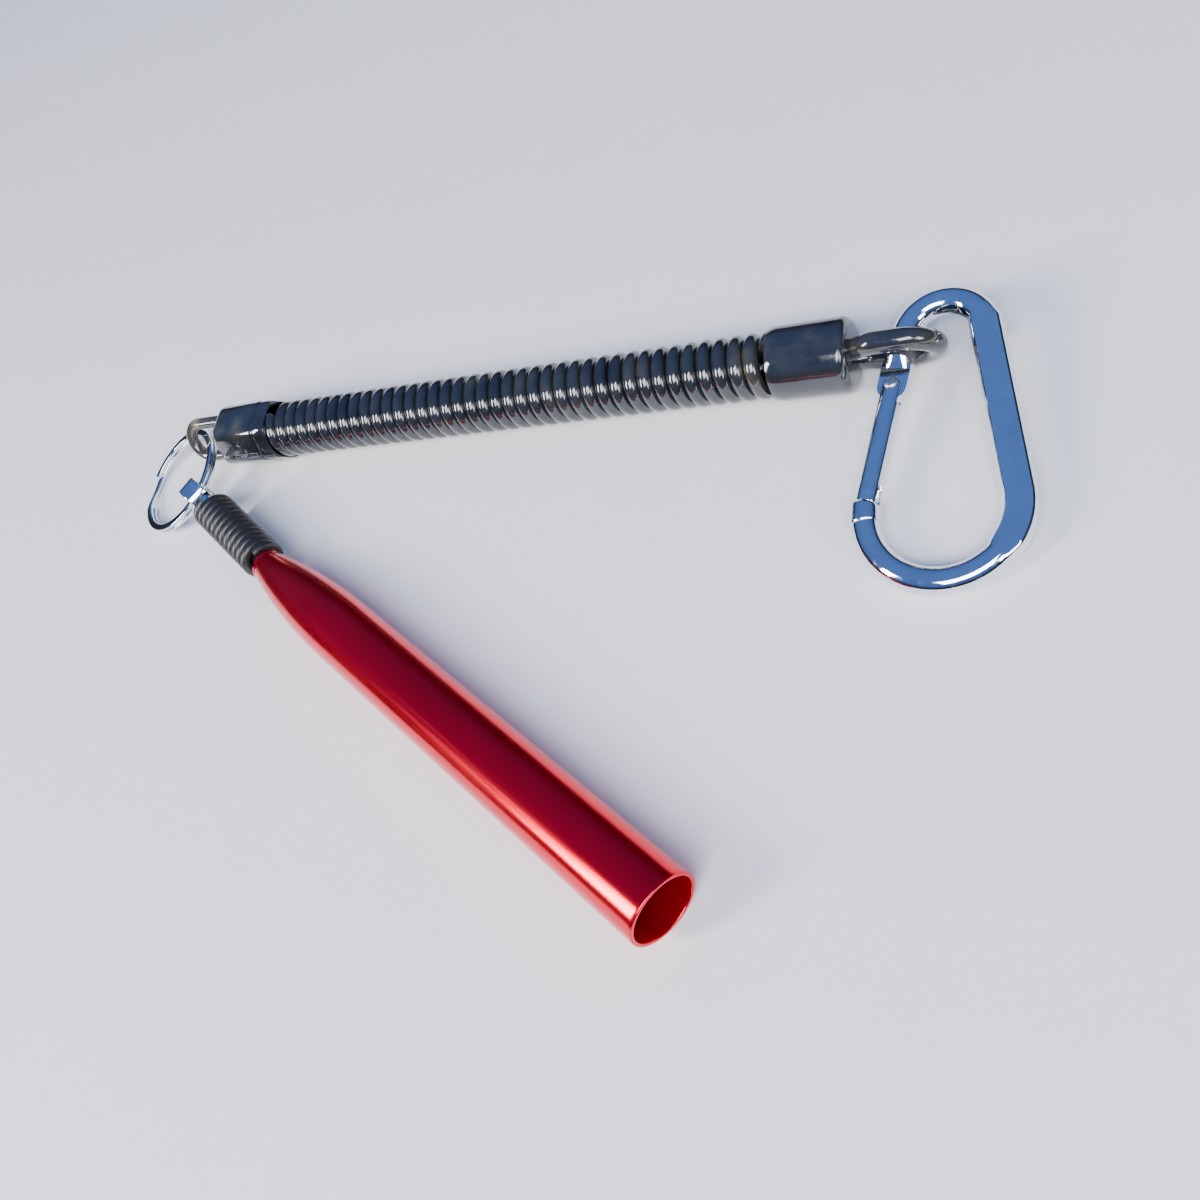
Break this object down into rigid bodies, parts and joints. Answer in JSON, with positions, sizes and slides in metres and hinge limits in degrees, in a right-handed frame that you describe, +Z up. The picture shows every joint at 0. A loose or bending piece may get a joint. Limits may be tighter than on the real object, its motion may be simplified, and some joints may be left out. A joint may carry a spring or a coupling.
{
  "type": "tethered metal tube",
  "caption": "Open metal tube with a bullet-shaped neck, held by a screw eye and split ring on a coiled lanyard that clips on with a D-shaped carabiner.",
  "frame": {"origin": "bottom centre of the laid-out object's box, on the surface it lies on", "axes": "+X along the coiled lanyard from the ring end to the carabiner, +Z up from the surface it lies on"},
  "size_m": [0.2178, 0.1191, 0.0144],
  "materials": {
    "polished_alloy": "polished",
    "chromed_steel": "polished",
    "spring_steel": "plain",
    "smoky_urethane": "glossy smoky black",
    "black_winding": "satin black",
    "red_anodised": "mirror red anodised"
  },
  "bodies": {
    "carabiner": {"carabiner_frame": "polished_alloy", "gate_rivet": "spring_steel"},
    "gate": {"carabiner_gate": "polished_alloy", "gate_spring": "spring_steel", "gate_plunger": "spring_steel"},
    "lanyard_top": {"upper_loop": "smoky_urethane", "upper_crimp": "spring_steel", "upper_boot": "smoky_urethane", "coil": "smoky_urethane"},
    "lanyard_end": {"lower_boot": "smoky_urethane", "lower_crimp": "spring_steel", "lower_loop": "smoky_urethane"},
    "ring": {"split_ring": "chromed_steel"},
    "tube": {"screw_eye": "chromed_steel", "eye_washer": "spring_steel", "eye_nut": "spring_steel", "neck_wrap": "black_winding", "neck_core": "black_winding", "neck_plug": "red_anodised", "rescue_tube": "red_anodised"}
  },
  "joints": [
    {"name": "gate_hinge", "type": "hinge", "parent": "carabiner", "child": "gate", "pos_m": [0.08406, 0.04082, 0.00633], "axis": [0, -0.1045, 0.9945], "range_deg": [0, 25], "stiffness_Nm_per_rad": 0.05, "springref_deg": -17.19},
    {"name": "lanyard_swing", "type": "hinge", "parent": "carabiner", "child": "lanyard_top", "pos_m": [0.08533, 0.04868, 0.00715], "axis": [0, 0.9945, 0.1045], "range_deg": [0, 60]},
    {"name": "coil_stretch", "type": "slide", "parent": "lanyard_top", "child": "lanyard_end", "axis": [-1, 0, 0], "range_m": [0, 0.45], "stiffness_N_per_m": 12, "deforming": ["coil"]},
    {"name": "ring_swing", "type": "hinge", "parent": "lanyard_end", "child": "ring", "pos_m": [-0.0877, 0.0487, 0.0073], "axis": [-1, 0, 0], "range_deg": [0, 44]},
    {"name": "tube_swing", "type": "hinge", "parent": "ring", "child": "tube", "pos_m": [-0.0841, 0.0329, 0.0069], "axis": [-0.5548, -0.832, 0], "range_deg": [0, 90]}
  ]
}
